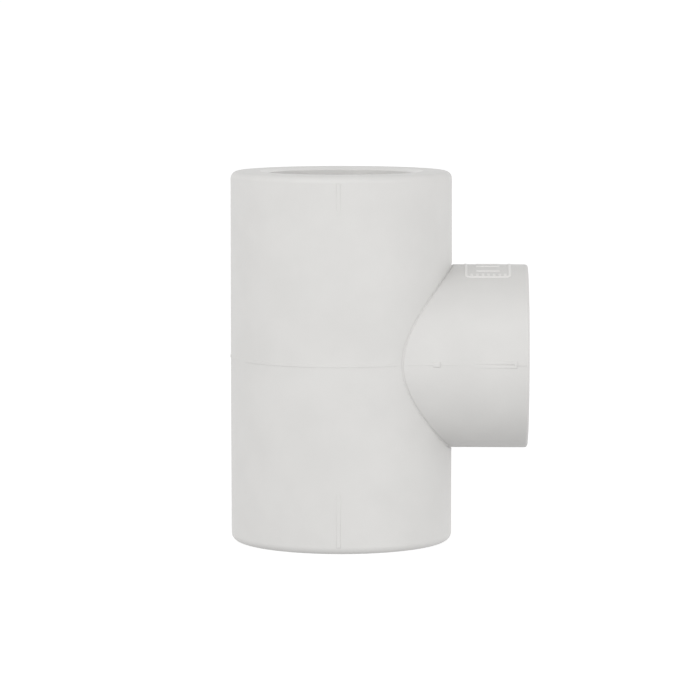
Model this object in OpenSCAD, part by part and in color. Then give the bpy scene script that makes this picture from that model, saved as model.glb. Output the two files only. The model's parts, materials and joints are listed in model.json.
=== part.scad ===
// Reducing tee for socket-fusion pipe: a 25 mm run with a 20 mm branch.
// Z runs up the run, X runs out along the branch, and the origin is the
// centre of the lower rim, so that the fitting stands on Z = 0.

/* [Run] */
// Outside diameter of the run at mid-height
run_od = 36; // [30:0.5:44]
// Length of the run from rim to rim
run_length = 60.2; // [50:0.1:72.5]
// Mould draft of the run, from mid-height to each rim, in degrees
run_draft = 0.08; // [0.05:0.01:0.5]
// Rounding of the run's outer rims
run_rim_round = 1.2; // [0.3:0.05:2]

/* [Branch] */
// Outside diameter of the branch
branch_od = 29.8; // [24:0.1:35.8]
// Distance from the run's axis to the branch's rim
branch_reach = 30.3; // [25:0.1:38]
// Rounding of the branch's outer rim
branch_rim_round = 0.5; // [0.2:0.05:1.5]

/* [Sockets] */
// Mean bore of the run sockets, for 25 mm pipe
run_socket_d = 24; // [20:0.1:29]
// Depth of the run sockets
run_socket_depth = 16; // [13:0.1:19.5]
// Mean bore of the branch socket, for 20 mm pipe
branch_socket_d = 19.2; // [16:0.1:23.1]
// Depth of the branch socket
branch_socket_depth = 14.5; // [12:0.1:17.4]
// Width of the lead-in at each mouth
lead_in_width = 1.3; // [0.3:0.1:1.6]
// Depth of the lead-in at each mouth
lead_in_depth = 0.4; // [0.3:0.1:2]

/* [Water way] */
// Bore of the run between its pipe stops
run_flow_d = 18; // [15:0.1:19.5]
// Bore of the branch behind its pipe stop
branch_flow_d = 13; // [10:0.1:15.6]

/* [Alignment ribs] */
// Height of a rib at its rim end
rib_height = 0.12; // [0.08:0.01:0.3]
// Height of a rib where it dies into the wall
rib_start_height = 0.03; // [0.02:0.01:0.06]
// Width of the ribs on the run
run_rib_width = 0.8; // [0.4:0.1:2]
// Length of the upper ribs
upper_rib_length = 5; // [3:0.1:9]
// Length of the lower ribs
lower_rib_length = 8.5; // [3:0.1:10]
// Width of the ribs on the branch
branch_rib_width = 1.1; // [0.4:0.1:2]
// Length of the ribs on the branch
branch_rib_length = 7; // [3:0.1:8]
// Gap between a branch rib and the branch's rim
branch_rib_setback = 2; // [1:0.1:4]

/* [Parting line] */
// Width of the parting line
parting_width = 0.25; // [0.15:0.05:0.5]
// Height of the parting line
parting_height = 0.05; // [0.04:0.01:0.1]

/* [Gate vestige] */
// Side of the square stub
gate_side = 1.1; // [0.6:0.1:2]
// Height of the square stub
gate_height = 0.2; // [0.1:0.05:0.4]
// Gap between the stub and the crease at the branch's root
gate_gap = 4.9; // [2:0.1:6]

/* [Label] */
// Gap between the run's wall and the label
label_root_gap = 2; // [1:0.1:3]
// Gap between the label and the branch's rim
label_rim_gap = 2.8; // [1:0.1:3]
// Angle that the label wraps round the branch, in degrees
label_wrap = 54; // [30:1:70]
// Width of the frame's lines, the bars and the ticks
label_line = 0.45; // [0.2:0.05:0.6]
// Height of the frame, the bars and the ticks
label_height = 0.1; // [0.08:0.01:0.3]
// Number of bars inside the frame
label_bar_count = 5; // [2:1:6]
// Distance between the ticks inside the frame's two long edges
label_tick_pitch = 0.9; // [0.8:0.1:2]
// Length of a tick
label_tick_length = 0.7; // [0.4:0.1:1]

/* [Hidden] */
$fn = 128;
over = 1;                                   // how far a cutter passes its face
run_r = run_od / 2;
branch_r = branch_od / 2;
half = run_length / 2;                      // rim to branch axis
stop_z = half - run_socket_depth;           // run pipe stops, from the branch axis
stop_x = branch_reach - branch_socket_depth;
rim_z = half - run_rim_round;               // where the wall ends and the rounding begins
crease_x = sqrt(run_r * run_r - branch_r * branch_r);
crease_gap = 0.1;                           // parting line's stop short of the crease
gate_x = crease_x + gate_gap;
rib_end_x = branch_reach - branch_rib_setback;
rib_start_x = rib_end_x - branch_rib_length;
label_start = run_r + label_root_gap;
label_end = branch_reach - label_rim_gap;
label_edge = label_wrap / 2;                // half the label's angle
line_angle = label_line / branch_r * 180 / PI;
shell = "#dddcda";
shell_shade = "#d3d2cf";
relief = "#e6e5e3";

// Radius of the run's outer wall at a height above or below the branch axis. The
// wall is straight under the parting line and leans in from there to each rim.
function wall_r(z) = run_r - max(0, abs(z) - parting_width / 2) * tan(run_draft);

// Puts a shape that was made along Z, with the branch's rim upwards, on the branch
module on_branch() {
    translate([0, 0, half]) rotate([0, 90, 0]) children();
}

// Half section of a ring from height z0 to its mouth at z1. Its outer wall leans by
// the angle draft, its outer rim is rounded, and its inner edge has the lead-in.
module socket_section(outer0, draft, z0, z1, bore, rim) {
    lean = tan(draft);
    centre_z = z1 - rim;
    centre_r = outer0 - lean * (centre_z - z0) - rim / cos(draft);
    polygon([
        [bore, z0],
        [outer0, z0],
        [centre_r + rim * cos(draft), centre_z + rim * sin(draft)],
        [centre_r, z1],
        [bore + lead_in_width, z1],
        [bore, z1 - lead_in_depth]
    ]);
    translate([centre_r, centre_z]) circle(r = rim);
}

// One run socket, upright, with the branch axis at height 0
module run_socket() {
    rotate_extrude()
        socket_section(wall_r(stop_z), run_draft, stop_z, half, run_socket_d / 2, run_rim_round);
}

// The round space that the branch socket fills, from its pipe stop outwards
module branch_envelope() {
    on_branch() translate([0, 0, stop_x]) cylinder(r = branch_r, h = branch_socket_depth + over);
}

// The round spaces that the two run sockets fill, from their pipe stops outwards
module run_ends() {
    translate([0, 0, half]) for (up = [0, 1]) mirror([0, 0, up]) rotate_extrude() polygon([
        [0, stop_z], [wall_r(stop_z), stop_z], [wall_r(half), half], [0, half]
    ]);
}

// The space that a pipe needs in the two run sockets
module run_pipes() {
    for (z = [-over, run_length - run_socket_depth])
        translate([0, 0, z]) cylinder(d = run_socket_d, h = run_socket_depth + over);
}

// Ring on the branch's wall between two distances from the run's axis
module branch_band(x0, x1, h0, h1) {
    on_branch() rotate_extrude() polygon([
        [branch_r, x0], [branch_r + h0, x0], [branch_r + h1, x1], [branch_r, x1]
    ]);
}

// Ring on the run's wall between two heights, standing proud by h0 and h1
module run_band(z0, z1, h0, h1) {
    rotate_extrude() polygon([
        [wall_r(z0), z0], [wall_r(z0) + h0, z0], [wall_r(z1) + h1, z1], [wall_r(z1), z1]
    ]);
}

// Two ribs on one end of the run, at the front and at the back, highest at the rim
module run_ribs(length) {
    for (turn = [90, 270])
        intersection() {
            run_band(rim_z - length, rim_z, rib_start_height, rib_height);
            rotate([0, 0, turn]) translate([0, -run_rib_width / 2, rim_z - length - over])
                cube([run_r + over, run_rib_width, length + 2 * over]);
        }
}

// Wedge with its edge on the branch's axis that keeps what lies between two angles
// from the top of the branch
module branch_sector(angle0, angle1) {
    far = branch_od;
    on_branch() linear_extrude(branch_reach) polygon([
        [0, 0],
        [-far * cos(angle0), far * sin(angle0)],
        [-far * cos(angle1), far * sin(angle1)]
    ]);
}

// Raised patch on the branch between two distances and two angles
module branch_patch(x0, x1, angle0, angle1) {
    intersection() {
        branch_band(x0, x1, label_height, label_height);
        branch_sector(angle0, angle1);
    }
}

module tee_junction() {
    color(shell) difference() {
        union() {
            translate([0, 0, half]) rotate_extrude() polygon([
                [0, -stop_z], [wall_r(stop_z), -stop_z], [run_r, -parting_width / 2],
                [run_r, parting_width / 2], [wall_r(stop_z), stop_z], [0, stop_z]
            ]);
            difference() {
                on_branch() cylinder(r = branch_r, h = stop_x);
                run_ends();
            }
        }
        branch_envelope();
        translate([0, 0, half - stop_z - over]) cylinder(d = run_flow_d, h = 2 * (stop_z + over));
        on_branch() cylinder(d = branch_flow_d, h = stop_x + over);
    }
}

module upper_socket() {
    color(shell) difference() {
        translate([0, 0, half]) run_socket();
        branch_envelope();
    }
}

module lower_socket() {
    color(shell) difference() {
        translate([0, 0, half]) mirror([0, 0, 1]) run_socket();
        branch_envelope();
    }
}

module branch_socket() {
    color(shell_shade) difference() {
        on_branch() rotate_extrude()
            socket_section(branch_r, 0, stop_x, branch_reach, branch_socket_d / 2, branch_rim_round);
        run_pipes();
    }
}

module upper_alignment_ribs() {
    color(relief) translate([0, 0, half]) run_ribs(upper_rib_length);
}

module lower_alignment_ribs() {
    color(relief) translate([0, 0, half]) mirror([0, 0, 1]) run_ribs(lower_rib_length);
}

module branch_alignment_ribs() {
    color(relief) intersection() {
        branch_band(rib_start_x, rib_end_x, rib_start_height, rib_height);
        translate([0, -run_od, half - branch_rib_width / 2])
            cube([branch_reach, 2 * run_od, branch_rib_width]);
    }
}

// Stretch of the parting line along one side of the branch
module branch_parting(front, x0, x1) {
    intersection() {
        branch_band(x0, x1, parting_height, parting_height);
        translate([0, front ? -run_od : 0, half - parting_width / 2])
            cube([branch_reach, run_od, parting_width]);
    }
}

module parting_line() {
    color(relief) {
        difference() {
            translate([0, 0, half - parting_width / 2]) rotate_extrude()
                translate([run_r, 0]) square([parting_height, parting_width]);
            on_branch() cylinder(r = branch_r + crease_gap, h = branch_reach);
        }
        branch_parting(true, crease_x + crease_gap, gate_x);
        branch_parting(true, gate_x + gate_side, rib_start_x);
        branch_parting(false, crease_x + crease_gap, rib_start_x);
        for (front = [true, false]) branch_parting(front, rib_end_x, branch_reach - branch_rim_round);
    }
}

module gate_vestige() {
    color(relief) intersection() {
        branch_band(gate_x, gate_x + gate_side, gate_height, gate_height);
        translate([0, -run_od, half - gate_side / 2]) cube([branch_reach, run_od, gate_side]);
    }
}

module label_frame() {
    color(relief) difference() {
        branch_patch(label_start, label_end, -label_edge, label_edge);
        intersection() {
            branch_band(label_start + label_line, label_end - label_line,
                        label_height + over, label_height + over);
            branch_sector(line_angle - label_edge, label_edge - line_angle);
        }
    }
}

module label_bars() {
    quarter = (label_end - label_start) / 4;
    pitch = label_wrap / (label_bar_count + 1);
    color(relief) for (n = [1 : label_bar_count])
        branch_patch(
            label_start + quarter, label_end - quarter,
            n * pitch - label_edge - line_angle / 2, n * pitch - label_edge + line_angle / 2
        );
}

module label_ticks() {
    foot = label_edge - line_angle;
    tip = foot - label_tick_length / branch_r * 180 / PI;
    count = floor((label_end - label_start - label_line) / label_tick_pitch - 0.5);
    color(relief) for (n = [1 : count], side = [-1, 1])
        branch_patch(
            label_start + n * label_tick_pitch, label_start + n * label_tick_pitch + label_line,
            min(side * tip, side * foot), max(side * tip, side * foot)
        );
}

tee_junction();
upper_socket();
lower_socket();
branch_socket();
upper_alignment_ribs();
lower_alignment_ribs();
branch_alignment_ribs();
parting_line();
gate_vestige();
label_frame();
label_bars();
label_ticks();
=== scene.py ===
# %% [markdown]
# # A reducing tee for plastic water pipe
#
# The object is a socket-fusion tee: an upright run with a socket at each end, and a
# smaller branch that leaves it at mid-height. It is one injection moulding in light
# grey polypropylene. This lesson builds it the way its mould does. Turned shapes give
# the walls and the bores, cuts let the branch into the run, and the fine marks that a
# mould leaves are drawn flat and then wrapped round the walls.
#
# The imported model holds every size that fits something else. It is loaded first, and
# nothing in it is moved. Each piece below stands for one of its nodes.

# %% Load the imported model
import json
import math

import bmesh
import bpy
from mathutils import Matrix, Vector


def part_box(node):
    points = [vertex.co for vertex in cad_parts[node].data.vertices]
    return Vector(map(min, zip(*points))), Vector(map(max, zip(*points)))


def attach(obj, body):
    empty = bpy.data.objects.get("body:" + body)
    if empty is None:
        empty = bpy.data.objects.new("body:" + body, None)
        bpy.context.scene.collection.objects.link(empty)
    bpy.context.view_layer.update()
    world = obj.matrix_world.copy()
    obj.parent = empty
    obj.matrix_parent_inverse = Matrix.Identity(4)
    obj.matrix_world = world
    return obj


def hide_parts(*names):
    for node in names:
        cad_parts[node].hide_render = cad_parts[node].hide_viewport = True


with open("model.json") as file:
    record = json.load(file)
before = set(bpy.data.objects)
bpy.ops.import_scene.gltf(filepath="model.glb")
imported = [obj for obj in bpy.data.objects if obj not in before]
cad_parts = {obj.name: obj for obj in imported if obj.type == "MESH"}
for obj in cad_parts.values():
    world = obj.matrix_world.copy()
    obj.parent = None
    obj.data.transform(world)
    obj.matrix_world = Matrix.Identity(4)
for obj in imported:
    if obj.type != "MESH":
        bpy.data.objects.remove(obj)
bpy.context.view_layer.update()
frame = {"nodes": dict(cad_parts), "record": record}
print("nodes in the packed model:", ", ".join(sorted(frame["nodes"])))

# %% [markdown]
# ## Sizes
#
# Blender works in metres, and a fitting is drawn in millimetres, so all shapes are
# made in millimetres and scaled at the very end. A node's box gives its outside, and
# the record's mounts give the bores that a pipe goes into. What neither one shows,
# such as a rounding, is a named value here that repeats the design's own.

# %% Read the sizes
MM = 0.001


def mm_box(node):
    """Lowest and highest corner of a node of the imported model, in millimetres."""
    low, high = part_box(node)
    return low / MM, high / MM


mounts = {mount["name"]: mount for mount in frame["record"]["mounts"]}
upper_low, upper_high = mm_box("upper_socket")
junction_low = mm_box("tee_junction")[0]
branch_low, branch_high = mm_box("branch_socket")
parting_low, parting_high = mm_box("parting_line")

half = upper_high.z / 2                     # from a rim to the branch's axis
stop_z = upper_low.z - half                 # pipe stops of the run, from that axis
run_r = -junction_low.x                     # run's wall at mid-height
parting_width = parting_high.z - parting_low.z
run_slope = (run_r + upper_low.x) / (stop_z - parting_width / 2)
branch_r = (branch_high.z - branch_low.z) / 2
branch_reach = branch_high.x
stop_x = branch_low.x
run_bore_r = mounts["upper_socket"]["dims"]["r_mm"]
branch_bore_r = mounts["branch_socket"]["dims"]["r_mm"]
lead_in_depth = upper_high.z - mounts["upper_socket"]["pos_m"][2] / MM

lead_in_width = 1.3
run_rim_round = 1.2
branch_rim_round = 0.5
run_flow_r = 9.0
branch_flow_r = 6.5
print(f"run {2 * run_r:.1f} x {2 * half:.1f} mm, branch {2 * branch_r:.1f} mm, reach {branch_reach:.1f} mm")


def wall_r(z):
    """Radius of the run's wall at a height above or below the branch's axis."""
    return run_r - max(0.0, abs(z) - parting_width / 2) * run_slope


# %% [markdown]
# ## One helper for every node tree
#
# Shader trees and geometry trees are built the same way: make a node, set it up, and
# feed its sockets. One small function does all three, which keeps each tree below
# readable as a list of steps.

# %% Node helper
def add(tree, kind, inputs=None, **settings):
    """Adds a node. settings are its own properties. inputs gives a socket, by its name or
    its number, either a value or the output that feeds it."""
    made = tree.nodes.new(kind)
    for name, value in settings.items():
        setattr(made, name, value)
    for key, value in (inputs or {}).items():
        if isinstance(value, bpy.types.NodeSocket):
            tree.links.new(value, made.inputs[key])
        else:
            made.inputs[key].default_value = value
    return made


# %% Colour helper
def colour(hex_code):
    """An sRGB value such as #DDDCDA as linear red, green, blue and alpha."""
    parts = [int(hex_code[i : i + 2], 16) / 255 for i in (1, 3, 5)]
    return (*[c / 12.92 if c <= 0.04045 else ((c + 0.055) / 1.055) ** 2.4 for c in parts], 1.0)


# %% [markdown]
# ## The plastic
#
# The fitting is random-copolymer polypropylene, pigmented light grey. It is slightly
# waxy: not glossy, not chalky, with an index of refraction near 1.49. The same plastic
# looks different wherever the steel that shaped it was different, so there are three
# finishes of one material. The outside and most of its marks were shaped by
# spark-eroded cavities, the bores by smooth turned core pins, and the label by
# engraving. The label's finish is also drawn paler, as a painted highlight for the
# light that its raised edges catch.
#
# The pattern of each finish follows Object coordinates, so it runs on from one section
# to the next as if they had never been divided.

# %% Moulded polypropylene
CLOUD_MM = 7.0              # pale and darker clouds where the melt flowed together
CLOUD_RANGE = (0.35, 0.65)  # the noise's values between dark and light
RIPPLE_MM = 5.0             # long ripples that shrinkage leaves in a thick wall
GLOSS_RANGE = (0.3, 0.7)
GLOSS_SWING = 0.04          # how far the grain changes the roughness, up or down


def polypropylene(name, light, dark, roughness, grain_mm, grain_height_mm, ripple_height_mm):
    """One finish of the plastic. grain_mm is the size of the texture that the steel left."""
    material = bpy.data.materials.new(name)
    material.use_nodes = True
    tree = material.node_tree
    shader = tree.nodes["Principled BSDF"]
    place = add(tree, "ShaderNodeTexCoord").outputs["Object"]

    def noise(size_mm, detail):
        scale = 1 / (size_mm * MM)
        return add(tree, "ShaderNodeTexNoise", {"Vector": place, "Scale": scale, "Detail": detail})

    clouds = noise(CLOUD_MM, 3).outputs["Fac"]
    grain = noise(grain_mm, 2).outputs["Fac"]
    ripple = noise(RIPPLE_MM, 1).outputs["Fac"]
    cloudy = add(tree, "ShaderNodeMapRange", {
        "Value": clouds, "From Min": CLOUD_RANGE[0], "From Max": CLOUD_RANGE[1],
    })
    tint = add(tree, "ShaderNodeMix", {
        0: cloudy.outputs["Result"], 6: colour(dark), 7: colour(light),
    }, data_type="RGBA")
    gloss = add(tree, "ShaderNodeMapRange", {
        "Value": grain, "From Min": GLOSS_RANGE[0], "From Max": GLOSS_RANGE[1],
        "To Min": roughness - GLOSS_SWING, "To Max": roughness + GLOSS_SWING,
    })
    waves = add(tree, "ShaderNodeBump", {"Height": ripple, "Distance": ripple_height_mm * MM})
    relief = add(tree, "ShaderNodeBump", {
        "Height": grain, "Distance": grain_height_mm * MM, "Normal": waves.outputs["Normal"],
    })
    tree.links.new(tint.outputs[2], shader.inputs["Base Color"])
    tree.links.new(gloss.outputs["Result"], shader.inputs["Roughness"])
    tree.links.new(relief.outputs["Normal"], shader.inputs["Normal"])
    shader.inputs["IOR"].default_value = 1.49
    print(f"{name}: roughness {roughness}, grain {grain_mm} mm")
    return material


# %% Three finishes of it
# Spark erosion leaves a satin pebble grain of about 0.1 mm. That is too fine to show
# at this size, so it is drawn three times as coarse.
eroded = polypropylene(
    "spark_eroded_polypropylene", "#D9D8D6", "#D6D5D3",
    roughness=0.46, grain_mm=0.33, grain_height_mm=0.006, ripple_height_mm=0.02,
)
# Core pins are turned and polished, so the bores are smoother and a little glossier.
core_pin = polypropylene(
    "core_pin_polypropylene", "#DEDDDB", "#DBDAD8",
    roughness=0.34, grain_mm=0.6, grain_height_mm=0.002, ripple_height_mm=0.03,
)
# The label was engraved after the erosion, so it is a little smoother. Its paler colour
# is a painted highlight, for the light that the raised label's edges catch.
label_painted_highlight_finish = polypropylene(
    "label_polypropylene_painted_highlight", "#E8E7E5", "#E4E3E1",
    roughness=0.40, grain_mm=0.33, grain_height_mm=0.003, ripple_height_mm=0.0,
)

# %% [markdown]
# ## Running a geometry tree
#
# Every tree below takes a few drawn lines and grows a solid from them. Its sizes are
# named inputs. A modifier knows an input by its identifier and not by its name, so one
# function looks the identifiers up, sets them before the object is first evaluated, and
# hands back a plain mesh.

# %% Tree helpers
def new_tree(name, **inputs):
    """A geometry tree with named inputs, and its Group Input node. Each is name=kind."""
    tree = bpy.data.node_groups.new(name, "GeometryNodeTree")
    tree.interface.new_socket("Geometry", in_out="INPUT", socket_type="NodeSocketGeometry")
    for label, kind in inputs.items():
        tree.interface.new_socket(label, in_out="INPUT", socket_type="NodeSocket" + kind)
    tree.interface.new_socket("Geometry", in_out="OUTPUT", socket_type="NodeSocketGeometry")
    return tree, add(tree, "NodeGroupInput")


def evaluated_copy(holder):
    """What an object looks like with its modifiers, as a plain mesh. The object is removed."""
    bpy.context.view_layer.update()
    made = bpy.data.meshes.new_from_object(holder.evaluated_get(bpy.context.evaluated_depsgraph_get()))
    bpy.data.objects.remove(holder)
    return made


def grow(tree, base, **sizes):
    """Runs a tree on a mesh, with its inputs set by name, and returns the mesh it makes."""
    holder = bpy.data.objects.new("holder", base)
    bpy.context.scene.collection.objects.link(holder)
    modifier = holder.modifiers.new("shape", "NODES")
    modifier.node_group = tree
    for item in tree.interface.items_tree:
        if item.in_out == "INPUT" and item.name in sizes:
            modifier[item.identifier] = sizes[item.name]
    return evaluated_copy(holder)


# %% Lines drawn for a tree
def drawing(lines, closed=True):
    """A mesh of edges. Each line is a list of corners (x, y, radius that rounds it)."""
    mesh = bpy.data.meshes.new("drawing")
    corners = [corner for line in lines for corner in line]
    edges = []
    start = 0
    for line in lines:
        count = len(line)
        edges += [(start + i, start + (i + 1) % count) for i in range(count if closed else count - 1)]
        start += count
    mesh.from_pydata([(x, y, 0) for x, y, _ in corners], edges, [])
    rounding = mesh.attributes.new("rounding", "FLOAT", "POINT")
    rounding.data.foreach_set("value", [radius for _, _, radius in corners])
    return mesh


# %% [markdown]
# ## Turned shapes
#
# A socket is a shape of revolution, and so is everything that is cut out of the
# moulding. Spin and Screw could turn it too, but a tree keeps the half section as four
# to six corners, each with the radius that rounds it, and does the rounding and the
# turning itself. Change a corner and the whole ring follows.
#
# The rounded corners come from Fillet Curve, which reads each corner's own radius. The
# section is then swept round a circle too small to matter, which turns it about the
# axis. Faces within the bore take the core pin's finish.

# %% Tree that turns a half section
STEPS_ROUND = 288          # segments round a full turn
FILLET_STEPS = 8
TINY_RADIUS = 1e-6         # of the circle that the section is swept round
WELD_DISTANCE = 1e-4


def turning_tree():
    tree, given = new_tree(
        "turned_ring", Segments="Int", BoreLimit="Float", Outside="Material", Inside="Material"
    )
    given = given.outputs
    outline = add(tree, "GeometryNodeMeshToCurve", {"Mesh": given["Geometry"]})
    rounding = add(tree, "GeometryNodeInputNamedAttribute", {"Name": "rounding"})
    rounded = add(tree, "GeometryNodeFilletCurve", {
        "Curve": outline.outputs["Curve"], "Radius": rounding.outputs["Attribute"],
        "Count": FILLET_STEPS,
    }, mode="POLY")
    upright = add(tree, "GeometryNodeTransform", {
        "Geometry": rounded.outputs["Curve"], "Rotation": (math.pi, 0, 0),
    })
    axis = add(tree, "GeometryNodeCurvePrimitiveCircle", {
        "Resolution": given["Segments"], "Radius": TINY_RADIUS,
    })
    swept = add(tree, "GeometryNodeCurveToMesh", {
        "Curve": axis.outputs["Curve"], "Profile Curve": upright.outputs["Geometry"],
    })
    # A section that starts and ends on the axis closes there, in one point at each pole.
    closed = add(tree, "GeometryNodeMergeByDistance", {
        "Geometry": swept.outputs["Mesh"], "Distance": WELD_DISTANCE,
    })
    real = add(tree, "GeometryNodeRealizeInstances", {"Geometry": closed.outputs["Geometry"]})
    flat = add(tree, "ShaderNodeVectorMath", {
        0: add(tree, "GeometryNodeInputPosition").outputs["Position"], 1: (1, 1, 0),
    }, operation="MULTIPLY")
    from_axis = add(tree, "ShaderNodeVectorMath", {0: flat.outputs["Vector"]}, operation="LENGTH")
    in_bore = add(tree, "FunctionNodeCompare", {
        0: from_axis.outputs["Value"], 1: given["BoreLimit"],
    }, operation="LESS_THAN")
    outside = add(tree, "GeometryNodeSetMaterial", {
        "Geometry": real.outputs["Geometry"], "Material": given["Outside"],
    })
    inside = add(tree, "GeometryNodeSetMaterial", {
        "Geometry": outside.outputs["Geometry"], "Selection": in_bore.outputs["Result"],
        "Material": given["Inside"],
    })
    add(tree, "NodeGroupOutput", {"Geometry": inside.outputs["Geometry"]})
    return tree


turned = turning_tree()


def turn(corners, closed=True, bore_limit=0.0, finish=eroded):
    """The solid that a half section makes when it turns about its axis."""
    return grow(
        turned, drawing([corners], closed), Segments=STEPS_ROUND, BoreLimit=bore_limit,
        Outside=finish, Inside=core_pin,
    )


# %% [markdown]
# ## Sockets
#
# Each socket is a ring from its pipe stop to its mouth. The outer rim is well rounded,
# and the mouth has a short cone that leads the pipe in. Its two edges are broken by a
# tenth of a millimetre or so, as on any moulding: a perfectly sharp edge would catch
# no light.

# %% Half sections
EDGE_BREAK = 0.15
OVER = 1.0                 # how far a cutter passes the face that it cuts


def socket_section(wall_at_stop, wall_at_rim, stop, rim, bore_r, rim_round):
    """Corners of a socket's half section: distance from the axis, height, rounding."""
    return [
        (bore_r, stop, 0),
        (bore_r, rim - lead_in_depth, EDGE_BREAK),
        (bore_r + lead_in_width, rim, EDGE_BREAK),
        (wall_at_rim, rim, rim_round),
        (wall_at_stop, stop, 0),
    ]


def rod(radius, low, high, finish=eroded):
    """A plain solid cylinder between two heights."""
    corners = [(0, high, 0), (radius, high, 0), (radius, low, 0), (0, low, 0)]
    return turn(corners, closed=False, finish=finish)


run_section = socket_section(
    wall_r(stop_z), wall_r(half), stop_z, half, run_bore_r, run_rim_round
)
branch_section = socket_section(
    branch_r, branch_r, stop_x, branch_reach, branch_bore_r, branch_rim_round
)
print(f"run socket {half - stop_z:.1f} mm deep, branch socket {branch_reach - stop_x:.1f} mm deep")

# %% [markdown]
# ## Placing, cutting and finishing
#
# A turned shape stands on its own Z axis. One matrix lifts it onto the run's axis, and
# another lays it along the branch. Cuts are Boolean modifiers, because two cylinders
# that cross need a true intersection line. The manifold solver is the one to use for
# closed solids: it is fast, and what it returns is closed again.
#
# A cut leaves long thin faces beside short ones, and plain smooth shading would bend
# the light across them. So sharp edges are marked by angle, and Weighted Normal lets
# the large faces decide.

# %% Places
ON_RUN = Matrix.Translation((0, 0, half))
UPSIDE_DOWN = Matrix.Rotation(math.pi, 4, "X")
# Local X points up, local Y towards the front, and local Z along the branch.
ON_BRANCH = ON_RUN @ Matrix(((0, 0, 1, 0), (0, -1, 0, 0), (1, 0, 0, 0), (0, 0, 0, 1)))
SHARP_ANGLE = math.radians(32)


def placed(mesh, place):
    """The mesh, moved to its place."""
    mesh.transform(place)
    return mesh


def combined(mesh, other, operation="DIFFERENCE"):
    """One mesh cut by another, or joined to it."""
    holder = bpy.data.objects.new("holder", mesh)
    tool = bpy.data.objects.new("tool", other)
    for item in (holder, tool):
        bpy.context.scene.collection.objects.link(item)
    modifier = holder.modifiers.new("cut", "BOOLEAN")
    modifier.operation = operation
    modifier.solver = "MANIFOLD"
    modifier.material_mode = "TRANSFER"
    modifier.object = tool
    made = evaluated_copy(holder)
    bpy.data.objects.remove(tool)
    return made


# %% Finishing a piece
def finished(name, mesh, node):
    """A millimetre mesh as a finished piece, in metres, standing for a node of the model."""
    mesh.transform(Matrix.Scale(MM, 4))
    mesh.name = name
    mesh.shade_smooth()
    mesh.set_sharp_from_angle(angle=SHARP_ANGLE)
    holder = bpy.data.objects.new("holder", mesh)
    bpy.context.scene.collection.objects.link(holder)
    weighted = holder.modifiers.new("normals", "WEIGHTED_NORMAL")
    weighted.keep_sharp = True
    piece = bpy.data.objects.new(name, evaluated_copy(holder))
    bpy.context.scene.collection.objects.link(piece)
    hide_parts(node)
    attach(piece, "root")
    shape = bmesh.new()
    shape.from_mesh(piece.data)
    open_edges = sum(not edge.is_manifold for edge in shape.edges)
    volume = shape.calc_volume(signed=True) / MM**3
    print(f"{name}: {len(shape.faces)} faces, {volume:.1f} mm3, {open_edges} open edges")
    shape.free()


# %% [markdown]
# ## The crease
#
# Where the branch meets the run, the two halves of the cavity and the branch's insert
# come together, and a fine line is left in the plastic all round the branch's root.
# It is a fine groove that follows the saddle where two cylinders cross. For a
# point on the branch's circle, the run's wall is sqrt(R2 - y2) from the run's axis, so
# a tree bends a circle by that rule and sweeps a small round cutter along it. The
# cutter is lifted off the corner, halfway between the two walls, so that it cuts wide
# and shallow: a deep narrow cut would look like a gap between two parts.

# %% Tree that follows the saddle
GROOVE_R = 0.21
GROOVE_LIFT = 0.11
GROOVE_SIDES = 32


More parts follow.
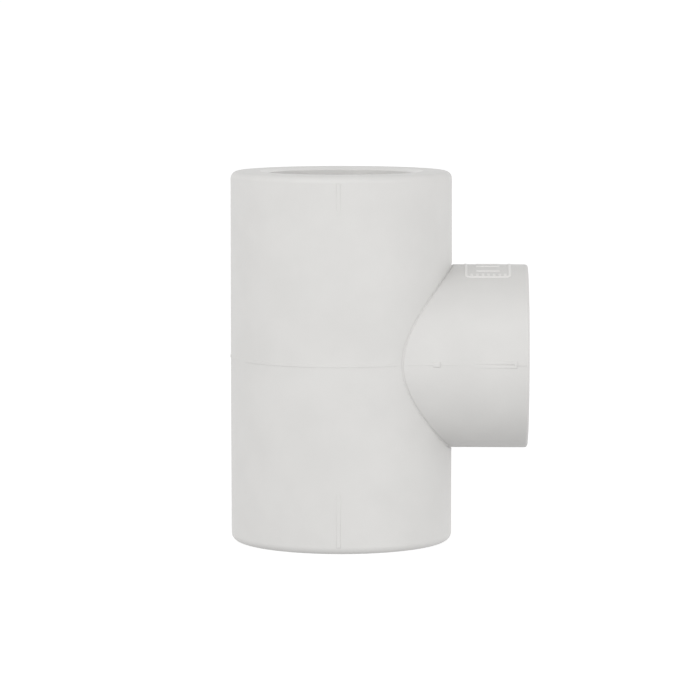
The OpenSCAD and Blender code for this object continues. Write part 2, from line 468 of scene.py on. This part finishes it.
def saddle_tree():
    tree, given = new_tree(
        "saddle_cutter", RunRadius="Float", RunSlope="Float", BranchRadius="Float",
        GrooveRadius="Float", Lift="Float", Finish="Material",
    )
    given = given.outputs
    circle = add(tree, "GeometryNodeCurvePrimitiveCircle", {
        "Resolution": STEPS_ROUND, "Radius": given["BranchRadius"],
    })
    position = add(tree, "GeometryNodeInputPosition").outputs["Position"]
    at = add(tree, "ShaderNodeSeparateXYZ", {0: position})
    height = add(tree, "ShaderNodeMath", {0: at.outputs["Y"]}, operation="ABSOLUTE")
    lean = add(tree, "ShaderNodeMath", {0: height.outputs[0], 1: given["RunSlope"]}, operation="MULTIPLY")
    wall = add(tree, "ShaderNodeMath", {0: given["RunRadius"], 1: lean.outputs[0]}, operation="SUBTRACT")
    wall_2 = add(tree, "ShaderNodeMath", {0: wall.outputs[0], 1: 2.0}, operation="POWER")
    side_2 = add(tree, "ShaderNodeMath", {0: at.outputs["X"], 1: at.outputs["X"]}, operation="MULTIPLY")
    out_2 = add(tree, "ShaderNodeMath", {0: wall_2.outputs[0], 1: side_2.outputs[0]}, operation="SUBTRACT")
    out = add(tree, "ShaderNodeMath", {0: out_2.outputs[0]}, operation="SQRT")
    saddle = add(tree, "ShaderNodeCombineXYZ", {
        "X": out.outputs[0], "Y": at.outputs["X"], "Z": at.outputs["Y"],
    })
    from_run = add(tree, "ShaderNodeCombineXYZ", {"X": out.outputs[0], "Y": at.outputs["X"]})
    off_run = add(tree, "ShaderNodeVectorMath", {0: from_run.outputs["Vector"]}, operation="NORMALIZE")
    from_branch = add(tree, "ShaderNodeCombineXYZ", {"Y": at.outputs["X"], "Z": at.outputs["Y"]})
    off_branch = add(tree, "ShaderNodeVectorMath", {0: from_branch.outputs["Vector"]}, operation="NORMALIZE")
    both = add(tree, "ShaderNodeVectorMath", {
        0: off_run.outputs["Vector"], 1: off_branch.outputs["Vector"],
    }, operation="ADD")
    between = add(tree, "ShaderNodeVectorMath", {0: both.outputs["Vector"]}, operation="NORMALIZE")
    lifted = add(tree, "ShaderNodeVectorMath", {
        0: between.outputs["Vector"], "Scale": given["Lift"],
    }, operation="SCALE")
    bent = add(tree, "GeometryNodeSetPosition", {
        "Geometry": circle.outputs["Curve"], "Position": saddle.outputs["Vector"],
        "Offset": lifted.outputs["Vector"],
    })
    tip = add(tree, "GeometryNodeCurvePrimitiveCircle", {
        "Resolution": GROOVE_SIDES, "Radius": given["GrooveRadius"],
    })
    cutter = add(tree, "GeometryNodeCurveToMesh", {
        "Curve": bent.outputs["Geometry"], "Profile Curve": tip.outputs["Curve"],
    })
    real = add(tree, "GeometryNodeRealizeInstances", {"Geometry": cutter.outputs["Mesh"]})
    coated = add(tree, "GeometryNodeSetMaterial", {
        "Geometry": real.outputs["Geometry"], "Material": given["Finish"],
    })
    add(tree, "NodeGroupOutput", {"Geometry": coated.outputs["Geometry"]})
    return tree


saddle = saddle_tree()


def crease_cutter():
    """The round cutter that leaves the groove at the branch's root."""
    made = grow(
        saddle, bpy.data.meshes.new("empty"), RunRadius=run_r, RunSlope=run_slope,
        BranchRadius=branch_r, GrooveRadius=GROOVE_R, Lift=GROOVE_LIFT, Finish=eroded,
    )
    return placed(made, ON_RUN)


def branch_room():
    """The room that the branch socket fills, from its pipe stop outwards."""
    return placed(rod(branch_r, stop_x, branch_reach + OVER), ON_BRANCH)


# %% Upper and lower socket
def run_socket(name, node, place):
    """One end of the run, as a finished piece."""
    ring = placed(turn(run_section, bore_limit=run_bore_r + lead_in_width - EDGE_BREAK), place)
    ring = combined(ring, branch_room())
    finished(name, combined(ring, crease_cutter()), node)


run_socket("upper_socket_moulding", "upper_socket", ON_RUN)
run_socket("lower_socket_moulding", "lower_socket", ON_RUN @ UPSIDE_DOWN)

# %% Branch socket
branch_ring = placed(
    turn(branch_section, bore_limit=branch_bore_r + lead_in_width - EDGE_BREAK), ON_BRANCH
)
finished(
    "branch_socket_moulding", combined(branch_ring, crease_cutter()), "branch_socket",
)

# %% [markdown]
# ## The junction
#
# The middle section holds the T of the water way. A solid body and the solid root of
# the branch are joined first and trimmed to the section's height. Then the two flow
# bores are cut through both, as the mould's core pins do. They are narrower than the
# sockets, so the section's end faces are the stops that a pipe is pushed against.

# %% Junction
beyond = stop_z + OVER
body = turn([
    (0, beyond, 0), (wall_r(beyond), beyond, 0), (run_r, parting_width / 2, 0),
    (run_r, -parting_width / 2, 0), (wall_r(beyond), -beyond, 0), (0, -beyond, 0),
], closed=False)
junction = combined(placed(body, ON_RUN), placed(rod(branch_r, 0, stop_x), ON_BRANCH), "UNION")
junction = combined(junction, placed(rod(2 * run_r, -stop_z, stop_z), ON_RUN), "INTERSECT")
junction = combined(junction, placed(rod(run_flow_r, -half, half, core_pin), ON_RUN))
junction = combined(junction, placed(rod(branch_flow_r, 0, stop_x + OVER, core_pin), ON_BRANCH))
junction = combined(combined(junction, branch_room()), crease_cutter())
finished("junction_moulding", junction, "tee_junction")

# %% [markdown]
# ## Raised marks
#
# Everything engraved in the cavity stands proud of the part: the parting line, the
# alignment ribs, the stub of the gate and the label. All of them are strokes of one
# width and height on a round wall. They are drawn unrolled and flat, where x runs along
# the wall's axis and y round it. A tree then sweeps a small section with rounded top
# edges along each line and rolls the result onto the wall.

# %% Tree that wraps strokes round a wall
SINK = 0.05                # how far a stroke's foot reaches into the wall
STROKE_STEP = 0.3          # longest piece of a stroke, so that it can bend
CORNER_STEPS = 6           # segments in a stroke's rounded corner
EDGE_STEPS = 3             # segments in its rounded top edges
PATCH_SCALE = 0.12         # one patch of an uneven stroke in about 8 mm
PATCH_RANGE = (0.42, 0.56)  # the noise's values between whole and missing


def stroke_tree():
    tree, given = new_tree(
        "strokes_on_round_wall", WallRadius="Float", WallSlope="Float", LineWidth="Float",
        LineHeight="Float", EdgeRound="Float", StartShare="Float", Unevenness="Float",
        PatchSeed="Float", Finish="Material",
    )
    given = given.outputs
    lines = add(tree, "GeometryNodeMeshToCurve", {"Mesh": given["Geometry"]})
    rounding = add(tree, "GeometryNodeInputNamedAttribute", {"Name": "rounding"})
    rounded = add(tree, "GeometryNodeFilletCurve", {
        "Curve": lines.outputs["Curve"], "Radius": rounding.outputs["Attribute"],
        "Count": CORNER_STEPS,
    }, mode="POLY")
    short = add(tree, "GeometryNodeResampleCurve", {
        "Curve": rounded.outputs["Curve"], "Length": STROKE_STEP,
    }, mode="LENGTH")
    along = add(tree, "GeometryNodeSplineParameter")
    kept = add(tree, "GeometryNodeCaptureAttribute", {"Geometry": short.outputs["Curve"]})
    kept.capture_items.new("FLOAT", "Along")
    tree.links.new(along.outputs["Factor"], kept.inputs["Along"])

    full = add(tree, "ShaderNodeMath", {0: given["LineHeight"], 1: SINK}, operation="ADD")
    block = add(tree, "GeometryNodeCurvePrimitiveQuadrilateral", {
        "Width": given["LineWidth"], "Height": full.outputs[0],
    })
    is_top = add(tree, "FunctionNodeCompare", {
        2: add(tree, "GeometryNodeInputIndex").outputs["Index"], 3: 2,
    }, data_type="INT", operation="LESS_THAN")
    top_round = add(tree, "ShaderNodeMath", {
        0: is_top.outputs["Result"], 1: given["EdgeRound"],
    }, operation="MULTIPLY")
    worn = add(tree, "GeometryNodeFilletCurve", {
        "Curve": block.outputs["Curve"], "Radius": top_round.outputs[0], "Count": EDGE_STEPS,
    }, mode="POLY")
    lift = add(tree, "ShaderNodeMath", {0: full.outputs[0], 1: 0.5, 2: -SINK}, operation="MULTIPLY_ADD")
    raised = add(tree, "GeometryNodeTransform", {
        "Geometry": worn.outputs["Curve"],
        "Translation": add(tree, "ShaderNodeCombineXYZ", {"Y": lift.outputs[0]}).outputs["Vector"],
    })
    # Curve to Mesh lays a section's own Y downwards, so the section is turned over first.
    section = add(tree, "GeometryNodeTransform", {
        "Geometry": raised.outputs["Geometry"], "Rotation": (math.pi, 0, 0),
    })
    flat = add(tree, "GeometryNodeCurveToMesh", {
        "Curve": kept.outputs["Geometry"], "Profile Curve": section.outputs["Geometry"],
        "Fill Caps": True,
    })

    position = add(tree, "GeometryNodeInputPosition").outputs["Position"]
    at = add(tree, "ShaderNodeSeparateXYZ", {0: position})
    growth = add(tree, "ShaderNodeMapRange", {
        "Value": kept.outputs["Along"], "To Min": given["StartShare"], "To Max": 1.0,
    })
    # An unevenness over 1 lets the top dip under the wall, so that the stroke comes and goes.
    patches = add(tree, "ShaderNodeTexNoise", {
        "Vector": position, "W": given["PatchSeed"], "Scale": PATCH_SCALE, "Detail": 1.0,
    }, noise_dimensions="4D")
    lack = add(tree, "ShaderNodeMapRange", {
        "Value": patches.outputs["Fac"], "From Min": PATCH_RANGE[0], "From Max": PATCH_RANGE[1],
        "To Min": 0.0, "To Max": given["Unevenness"],
    })
    present = add(tree, "ShaderNodeMath", {0: 1.0, 1: lack.outputs["Result"]}, operation="SUBTRACT")
    share = add(tree, "ShaderNodeMath", {
        0: growth.outputs["Result"], 1: present.outputs[0],
    }, operation="MULTIPLY")
    top = add(tree, "ShaderNodeMath", {0: at.outputs["Z"], 1: 0.0}, operation="MAXIMUM")
    foot = add(tree, "ShaderNodeMath", {0: at.outputs["Z"], 1: 0.0}, operation="MINIMUM")
    proud = add(tree, "ShaderNodeMath", {
        0: top.outputs[0], 1: share.outputs[0], 2: foot.outputs[0],
    }, operation="MULTIPLY_ADD")
    far = add(tree, "ShaderNodeMath", {0: at.outputs["X"]}, operation="ABSOLUTE")
    lean = add(tree, "ShaderNodeMath", {0: far.outputs[0], 1: given["WallSlope"]}, operation="MULTIPLY")
    wall = add(tree, "ShaderNodeMath", {0: given["WallRadius"], 1: lean.outputs[0]}, operation="SUBTRACT")
    radius = add(tree, "ShaderNodeMath", {0: wall.outputs[0], 1: proud.outputs[0]}, operation="ADD")
    angle = add(tree, "ShaderNodeMath", {0: at.outputs["Y"], 1: given["WallRadius"]}, operation="DIVIDE")
    across = add(tree, "ShaderNodeMath", {0: angle.outputs[0]}, operation="COSINE")
    aside = add(tree, "ShaderNodeMath", {0: angle.outputs[0]}, operation="SINE")
    rolled_x = add(tree, "ShaderNodeMath", {0: radius.outputs[0], 1: across.outputs[0]}, operation="MULTIPLY")
    rolled_y = add(tree, "ShaderNodeMath", {0: radius.outputs[0], 1: aside.outputs[0]}, operation="MULTIPLY")
    rolled = add(tree, "ShaderNodeCombineXYZ", {
        "X": rolled_x.outputs[0], "Y": rolled_y.outputs[0], "Z": at.outputs["X"],
    })
    wrapped = add(tree, "GeometryNodeSetPosition", {
        "Geometry": flat.outputs["Mesh"], "Position": rolled.outputs["Vector"],
    })
    real = add(tree, "GeometryNodeRealizeInstances", {"Geometry": wrapped.outputs["Geometry"]})
    coated = add(tree, "GeometryNodeSetMaterial", {
        "Geometry": real.outputs["Geometry"], "Material": given["Finish"],
    })
    add(tree, "NodeGroupOutput", {"Geometry": coated.outputs["Geometry"]})
    return tree


strokes = stroke_tree()
RUN_WALL = {"WallRadius": run_r, "WallSlope": run_slope}
BRANCH_WALL = {"WallRadius": branch_r, "WallSlope": 0.0}
EDGE_SHARE = 0.8           # a mark's edges are rounded over this share of its height


def marks(lines, wall, width, height, closed=False, finish=eroded, **choices):
    """Strokes of one width and height, wrapped round a wall that stands on its Z axis."""
    sizes = {"EdgeRound": EDGE_SHARE * height, "StartShare": 1.0, "Unevenness": 0.0, "PatchSeed": 0.0}
    sizes.update(choices)
    return grow(
        strokes, drawing(lines, closed), LineWidth=width, LineHeight=height, Finish=finish,
        **wall, **sizes,
    )


def joined(*meshes):
    """Several meshes as one, each in its own place."""
    shape = bmesh.new()
    for mesh in meshes:
        shape.from_mesh(mesh)
    made = bpy.data.meshes.new("joined")
    shape.to_mesh(made)
    shape.free()
    made.materials.append(eroded)
    return made


def straight(x0, x1, y):
    """A straight stroke along the wall's axis."""
    return [(x0, y, 0), (x1, y, 0)]


# %% [markdown]
# ## Alignment ribs
#
# An installer lines the pipe's mark up with a rib while the plastic is still hot. Each
# rib grows out of the wall towards the rim. Each socket has one at the front and one at
# the back.

# %% Ribs on the run
QUARTER = math.pi / 2
upper_ribs_low, upper_ribs_high = mm_box("upper_alignment_ribs")
lower_ribs_low, lower_ribs_high = mm_box("lower_alignment_ribs")
RUN_RIB_WIDTH = 0.65
RUN_RIB_START = 0.4        # share of its height that a rib on the run starts with


def run_ribs(name, node, first, last, place):
    """The front and back rib of one end of the run."""
    lines = [straight(first, last, side * QUARTER * run_r) for side in (1, -1)]
    height = upper_ribs_high.y - wall_r(upper_ribs_high.z - half)
    made = marks(lines, RUN_WALL, RUN_RIB_WIDTH, height, StartShare=RUN_RIB_START)
    finished(name, placed(made, place), node)


run_ribs(
    "upper_ribs", "upper_alignment_ribs", upper_ribs_low.z - half, upper_ribs_high.z - half,
    ON_RUN,
)
run_ribs(
    "lower_ribs", "lower_alignment_ribs", half - lower_ribs_high.z, half - lower_ribs_low.z,
    ON_RUN @ UPSIDE_DOWN,
)

# %% Ribs on the branch
# On the branch, y is measured from the top line, and a quarter turn is the front. The
# mould's parting plane splits each of these ribs, and leaves a fine seam down its middle.
SEAM_WIDTH = 0.14
BRANCH_RIB_START = 0.0     # a rib on the branch dies into the wall
front_y = QUARTER * branch_r
ribs_low, ribs_high = mm_box("branch_alignment_ribs")
branch_rib_height = ribs_high.y - branch_r
half_width = (ribs_high.z - ribs_low.z - SEAM_WIDTH) / 2
half_offset = (half_width + SEAM_WIDTH) / 2
branch_rib_lines = [
    straight(ribs_low.x, ribs_high.x, side * front_y + step)
    for side in (1, -1) for step in (-half_offset, half_offset)
]
halves = marks(
    branch_rib_lines, BRANCH_WALL, half_width, branch_rib_height, StartShare=BRANCH_RIB_START
)

# Each of them ends in a low ridge across its full width.
END_WIDTH = 0.45
END_HEIGHT = 0.03
end_x = ribs_high.x - END_WIDTH / 2
reach = (ribs_high.z - ribs_low.z - END_WIDTH) / 2
end_lines = [
    [(end_x, side * front_y - reach, 0), (end_x, side * front_y + reach, 0)] for side in (1, -1)
]
ends = marks(end_lines, BRANCH_WALL, END_WIDTH, branch_rib_height + END_HEIGHT)
finished(
    "branch_ribs", placed(joined(halves, ends), ON_BRANCH), "branch_alignment_ribs"
)

# %% [markdown]
# ## Parting line and gate
#
# The two halves of the cavity meet in the plane of the branch's axis. They leave a
# hair of plastic round the run and along both sides of the branch. It isn't even:
# where the steel closed tightly, it fades away. The gate is where the melt came in. It
# was cut off and left a small stub on the front of the branch.

# %% Parting line
gate_low, gate_high = mm_box("gate_vestige")
crease_x = math.sqrt(run_r**2 - branch_r**2)
crease_angle = math.atan2(branch_r, crease_x)
CREASE_GAP = 0.25                # flash stops this far from the crease
RUN_FLASH_WIDTH, RUN_FLASH_HEIGHT = 0.35, 0.065
RIM_FLASH_WIDTH, RIM_FLASH_HEIGHT = 0.35, 0.09   # between a rib and the branch's rim
BRANCH_FLASH_SHARE = 0.6         # the steel closed better on the rest of the branch
FLASH_EDGE_SHARE = 0.3           # flash is sharper than the other marks
parting_height = parting_high.y - run_r
flash = {"EdgeRound": FLASH_EDGE_SHARE * parting_height, "Unevenness": 1.3, "PatchSeed": 12.5}
first_y = crease_angle * run_r + CREASE_GAP
round_run = [[(0, first_y, 0), (0, math.tau * run_r - first_y, 0)]]
branch_stretches = [
    straight(crease_x + CREASE_GAP, gate_low.x, front_y),
    straight(gate_high.x, ribs_low.x, front_y),
    straight(crease_x + CREASE_GAP, ribs_low.x, -front_y),
]
rim_stretches = [straight(ribs_high.x, parting_high.x, side * front_y) for side in (1, -1)]
line_round = marks(round_run, RUN_WALL, RUN_FLASH_WIDTH, RUN_FLASH_HEIGHT, **flash)
branch_flash_height = BRANCH_FLASH_SHARE * parting_height
line_along = marks(branch_stretches, BRANCH_WALL, parting_width, branch_flash_height, **flash)
line_at_rim = marks(rim_stretches, BRANCH_WALL, RIM_FLASH_WIDTH, RIM_FLASH_HEIGHT)
finished(
    "parting_line_flash",
    joined(placed(line_round, ON_RUN), placed(line_along, ON_BRANCH), placed(line_at_rim, ON_BRANCH)),
    "parting_line",
)

# %% Gate
# The cut is slanted, and a small ridge leads up to it where the melt's channel ran.
GATE_WIDTH_SHARE = 0.75
GATE_START_SHARE = 0.4
RIDGE_LENGTH, RIDGE_WIDTH, RIDGE_HEIGHT = 1.3, 0.25, 0.08
gate_height = -gate_low.y - branch_r
gate_width = (gate_high.z - gate_low.z) * GATE_WIDTH_SHARE
stub = marks(
    [straight(gate_low.x, gate_high.x, front_y)], BRANCH_WALL, gate_width, gate_height,
    StartShare=GATE_START_SHARE,
)
ridge_line = [straight(gate_low.x - RIDGE_LENGTH, gate_low.x, front_y)]
ridge = marks(ridge_line, BRANCH_WALL, RIDGE_WIDTH, RIDGE_HEIGHT, StartShare=0.0)
finished("gate_stub", placed(joined(stub, ridge), ON_BRANCH), "gate_vestige")

# %% [markdown]
# ## Label
#
# A real fitting carries its maker's lettering in a raised frame on top of the branch.
# Here the frame is kept, and plain bars and ticks stand for the lettering.

# %% Frame, bars and ticks
frame_low, frame_high = mm_box("label_frame")
bars_low, bars_high = mm_box("label_bars")
ticks_low, ticks_high = mm_box("label_ticks")
LABEL_LINE = 0.45
LABEL_CORNER = 0.6
BAR_COUNT = 5
TICK_COUNT = 7
TICK_LENGTH = 0.7
label_height = frame_high.z - half - branch_r
label_y = math.asin(frame_high.y / (branch_r + label_height)) * branch_r
inset = LABEL_LINE / 2
frame_x = (frame_low.x + inset, frame_high.x - inset)
frame_y = label_y - inset
frame_line = [
    (frame_x[0], -frame_y, LABEL_CORNER), (frame_x[1], -frame_y, LABEL_CORNER),
    (frame_x[1], frame_y, LABEL_CORNER), (frame_x[0], frame_y, LABEL_CORNER),
]
bar_pitch = 2 * label_y / (BAR_COUNT + 1)
bar_lines = [
    straight(bars_low.x, bars_high.x, n * bar_pitch - label_y) for n in range(1, BAR_COUNT + 1)
]
tick_pitch = (ticks_high.x - ticks_low.x - LABEL_LINE) / (TICK_COUNT - 1)
tick_foot = label_y - LABEL_LINE
tick_lines = [
    [(ticks_low.x + inset + n * tick_pitch, side * (tick_foot - TICK_LENGTH), 0),
     (ticks_low.x + inset + n * tick_pitch, side * tick_foot, 0)]
    for n in range(TICK_COUNT) for side in (-1, 1)
]


def label(name, node, lines, closed=False):
    """One piece of the label, in its own finish, drawn paler as a painted highlight."""
    made = marks(lines, BRANCH_WALL, LABEL_LINE, label_height, closed, finish=label_painted_highlight_finish)
    finished(name, placed(made, ON_BRANCH), node)


label("label_border", "label_frame", [frame_line], closed=True)
label("label_lines", "label_bars", bar_lines)
label("label_notches", "label_ticks", tick_lines)

# %% [markdown]
# ## The studio
#
# The fitting stands on a plain white table. The light is as even as in a light tent: a
# pale sky that is brightest around the horizon, and dimmer overhead and from below. A
# small soft box on the left is near and high, so the run is a little brighter towards
# its top. A large one and a strip on the right are level with the fitting. Two more
# fill the upper walls and draw the branch's rim.

# %% Table
TABLE_HALF = 20.0          # metres, so that the table fades into the background
TABLE_GLOW = 0.75


def table():
    """A large white table top, lit through as a light table is."""
    mesh = bpy.data.meshes.new("table")
    corners = [(x * TABLE_HALF, y * TABLE_HALF, 0) for x, y in ((-1, -1), (1, -1), (1, 1), (-1, 1))]
    mesh.from_pydata(corners, [], [(0, 1, 2, 3)])
    top = bpy.data.objects.new("table", mesh)
    bpy.context.scene.collection.objects.link(top)
    material = bpy.data.materials.new("white_acrylic_table")
    material.use_nodes = True
    shader = material.node_tree.nodes["Principled BSDF"]
    shader.inputs["Base Color"].default_value = colour("#B0B0B0")
    shader.inputs["Roughness"].default_value = 0.9
    shader.inputs["Specular IOR Level"].default_value = 0.0
    shader.inputs["Emission Color"].default_value = colour("#FFFFFF")
    shader.inputs["Emission Strength"].default_value = TABLE_GLOW
    mesh.materials.append(material)
    # The sky gives all the light from below, so the table itself lights nothing.
    top.visible_diffuse = False
    top.visible_glossy = False


table()

# %% Sky
SKY_STRENGTH = 1.033
SKY_BELOW, SKY_LEVEL, SKY_ABOVE = 0.485, 1.0, 0.56


def sky():
    """A pale sky, brightest around the horizon."""
    world = bpy.data.worlds.new("light_tent")
    world.use_nodes = True
    tree = world.node_tree
    direction = add(tree, "ShaderNodeTexCoord").outputs["Generated"]
    height = add(tree, "ShaderNodeSeparateXYZ", {0: direction}).outputs["Z"]
    share = add(tree, "ShaderNodeMapRange", {"Value": height, "From Min": -1.0, "From Max": 1.0})
    ramp = add(tree, "ShaderNodeValToRGB", {"Fac": share.outputs["Result"]})
    ramp.color_ramp.interpolation = "EASE"
    stops = ramp.color_ramp.elements
    stops[0].color = (*[SKY_BELOW] * 3, 1)
    stops[1].color = (*[SKY_ABOVE] * 3, 1)
    level = stops.new(0.5)
    level.color = (*[SKY_LEVEL] * 3, 1)
    background = tree.nodes["Background"]
    background.inputs["Strength"].default_value = SKY_STRENGTH
    tree.links.new(ramp.outputs["Color"], background.inputs["Color"])
    bpy.context.scene.world = world


sky()


# %% Soft boxes
# Angles are in degrees, distances and sizes in metres, and power is in watts.
def soft_box(name, azimuth, elevation, distance, width, height, power):
    """A soft light that faces the fitting. Azimuth 0 is in front, and 90 is on the right."""
    light = bpy.data.lights.new(name, "AREA")
    light.shape = "RECTANGLE"
    light.size = width
    light.size_y = height
    light.energy = power
    lamp = bpy.data.objects.new(name, light)
    bpy.context.scene.collection.objects.link(lamp)
    a, e = math.radians(azimuth), math.radians(elevation)
    towards = Vector((math.sin(a) * math.cos(e), -math.cos(a) * math.cos(e), math.sin(e)))
    lamp.location = Vector((0, 0, half * MM)) + towards * distance
    lamp.rotation_euler = towards.to_track_quat("Z", "Y").to_euler()


soft_box("left_soft_box", azimuth=-25, elevation=30, distance=0.35, width=0.20, height=0.20, power=0.22)
soft_box("right_soft_box", azimuth=50, elevation=8, distance=0.90, width=0.30, height=0.70, power=0.60)
soft_box("right_strip", azimuth=35, elevation=10, distance=0.50, width=0.15, height=0.40, power=0.15)
soft_box("high_soft_box", azimuth=-60, elevation=60, distance=0.60, width=0.40, height=0.40, power=0.21)
soft_box("side_soft_box", azimuth=95, elevation=0, distance=0.60, width=0.30, height=0.60, power=0.06)

# %% [markdown]
# ## Camera
#
# A long lens from a little above the middle and just right of straight in front, so
# that both walls stay nearly upright and the mouth shows as a thin ellipse.

# %% Camera
LENS_MM = 184.3
SENSOR_MM = 36.0
AZIMUTH, ELEVATION = math.radians(1.365), math.radians(5.61)
DISTANCE = 0.584
camera_data = bpy.data.cameras.new("camera")
camera_data.lens = LENS_MM
camera_data.sensor_width = SENSOR_MM
camera = bpy.data.objects.new("camera", camera_data)
bpy.context.scene.collection.objects.link(camera)
aim = Vector((1.41, 0.12, half + 0.87)) * MM
back = Vector((
    math.sin(AZIMUTH) * math.cos(ELEVATION),
    -math.cos(AZIMUTH) * math.cos(ELEVATION),
    math.sin(ELEVATION),
))
camera.location = aim + back * DISTANCE
camera.rotation_euler = back.to_track_quat("Z", "Y").to_euler()
bpy.context.scene.camera = camera
bpy.context.scene.view_settings.view_transform = "Standard"
print("camera at", [round(x / MM, 1) for x in camera.location])
